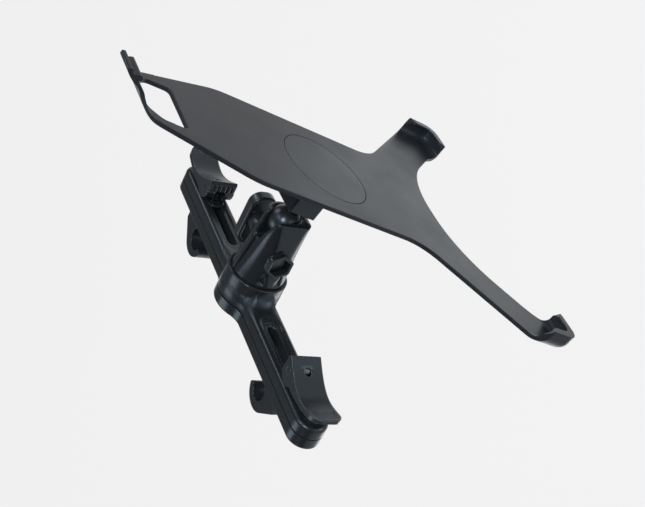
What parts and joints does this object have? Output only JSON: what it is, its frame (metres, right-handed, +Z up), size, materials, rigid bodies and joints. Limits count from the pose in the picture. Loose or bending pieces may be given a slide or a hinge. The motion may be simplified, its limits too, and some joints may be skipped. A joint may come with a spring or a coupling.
{
  "type": "headrest tablet mount",
  "caption": "Bar with quick-release post clamps that fixes to headrest posts and holds a tablet in a Y-shaped cradle on a lockable ball joint.",
  "frame": {"origin": "midway between the axes of the headrest posts, at the middle of the bar's height", "axes": "+X along the bar, +Z up along the posts, -Y towards the tablet"},
  "size_m": [0.212, 0.1482, 0.2439],
  "materials": {
    "cradle": "fine satin grain",
    "disc": "fine satin grain",
    "bar": "semi-gloss black",
    "socket": "semi-gloss black",
    "lever": "semi-gloss black",
    "ball": "polished black",
    "steel": "satin",
    "brass": "machined"
  },
  "bodies": {
    "bar": {"bar_front_shell": "bar", "bar_rear_shell": "bar", "bar_screws": "steel", "socket_screws": "steel", "socket_half_far": "socket", "thrust_washer": "steel", "release_spring": "steel"},
    "ball": {"ball": "ball"},
    "stud": {"ball_stud": "steel"},
    "cradle": {"cradle_plate": "cradle", "cover_disc": "disc", "adapter_block": "socket", "block_screws": "steel"},
    "knob": {"wing_knob": "lever", "knob_insert": "brass"},
    "near_half": {"socket_half_near": "socket", "clamp_bolt": "steel"},
    "carriage_near": {"cam_seat_near": "bar"},
    "draw_near": {"draw_bolt_near": "steel", "lever_pin_near": "steel", "jaw_near": "bar", "jaw_nut_near": "steel"},
    "lever_near": {"cam_lever_near": "lever"},
    "carriage_far": {"cam_seat_far": "bar"},
    "draw_far": {"draw_bolt_far": "steel", "lever_pin_far": "steel", "jaw_far": "bar", "jaw_nut_far": "steel"},
    "lever_far": {"cam_lever_far": "lever"}
  },
  "joints": [
    {"name": "ball_pitch", "type": "hinge", "parent": "bar", "child": "ball", "pos_m": [0, -0.0629, 0], "axis": [1, 0, 0], "range_deg": [-33, 7]},
    {"name": "ball_yaw", "type": "hinge", "parent": "ball", "child": "stud", "pos_m": [0, -0.0629, 0], "axis": [0, -0.225, 0.9744], "range_deg": [-11, 11]},
    {"name": "ball_spin", "type": "hinge", "parent": "stud", "child": "cradle", "pos_m": [0, -0.0629, 0], "axis": [0, -0.9744, -0.225], "continuous": true},
    {"name": "knob_turn", "type": "hinge", "parent": "bar", "child": "knob", "pos_m": [0, -0.0446, 0], "axis": [1, 0, 0], "range_deg": [0, 270]},
    {"name": "near_half_slide", "type": "slide", "parent": "bar", "child": "near_half", "axis": [-1, 0, 0], "range_m": [0, 0.0006]},
    {"name": "clamp_slide_near", "type": "slide", "parent": "bar", "child": "carriage_near", "axis": [1, 0, 0], "range_m": [-0.018, 0.034]},
    {"name": "draw_slide_near", "type": "slide", "parent": "carriage_near", "child": "draw_near", "axis": [0, 1, 0], "range_m": [0, 0.0015]},
    {"name": "lever_swing_near", "type": "hinge", "parent": "draw_near", "child": "lever_near", "pos_m": [-0.071, -0.0275, 0], "axis": [0, 0, 1], "range_deg": [0, 60]},
    {"name": "clamp_slide_far", "type": "slide", "parent": "bar", "child": "carriage_far", "axis": [1, 0, 0], "range_m": [-0.034, 0.018]},
    {"name": "draw_slide_far", "type": "slide", "parent": "carriage_far", "child": "draw_far", "axis": [0, 1, 0], "range_m": [0, 0.0015]},
    {"name": "lever_swing_far", "type": "hinge", "parent": "draw_far", "child": "lever_far", "pos_m": [0.071, -0.0275, 0], "axis": [0, 0, -1], "range_deg": [0, 60]}
  ],
  "couplings": [
    {"joint": "knob_turn", "follows": "near_half_slide", "rad_per_m": 7854},
    {"joint": "lever_swing_near", "follows": "draw_slide_near", "rad_per_m": 698.13},
    {"joint": "lever_swing_far", "follows": "draw_slide_far", "rad_per_m": 698.13}
  ]
}
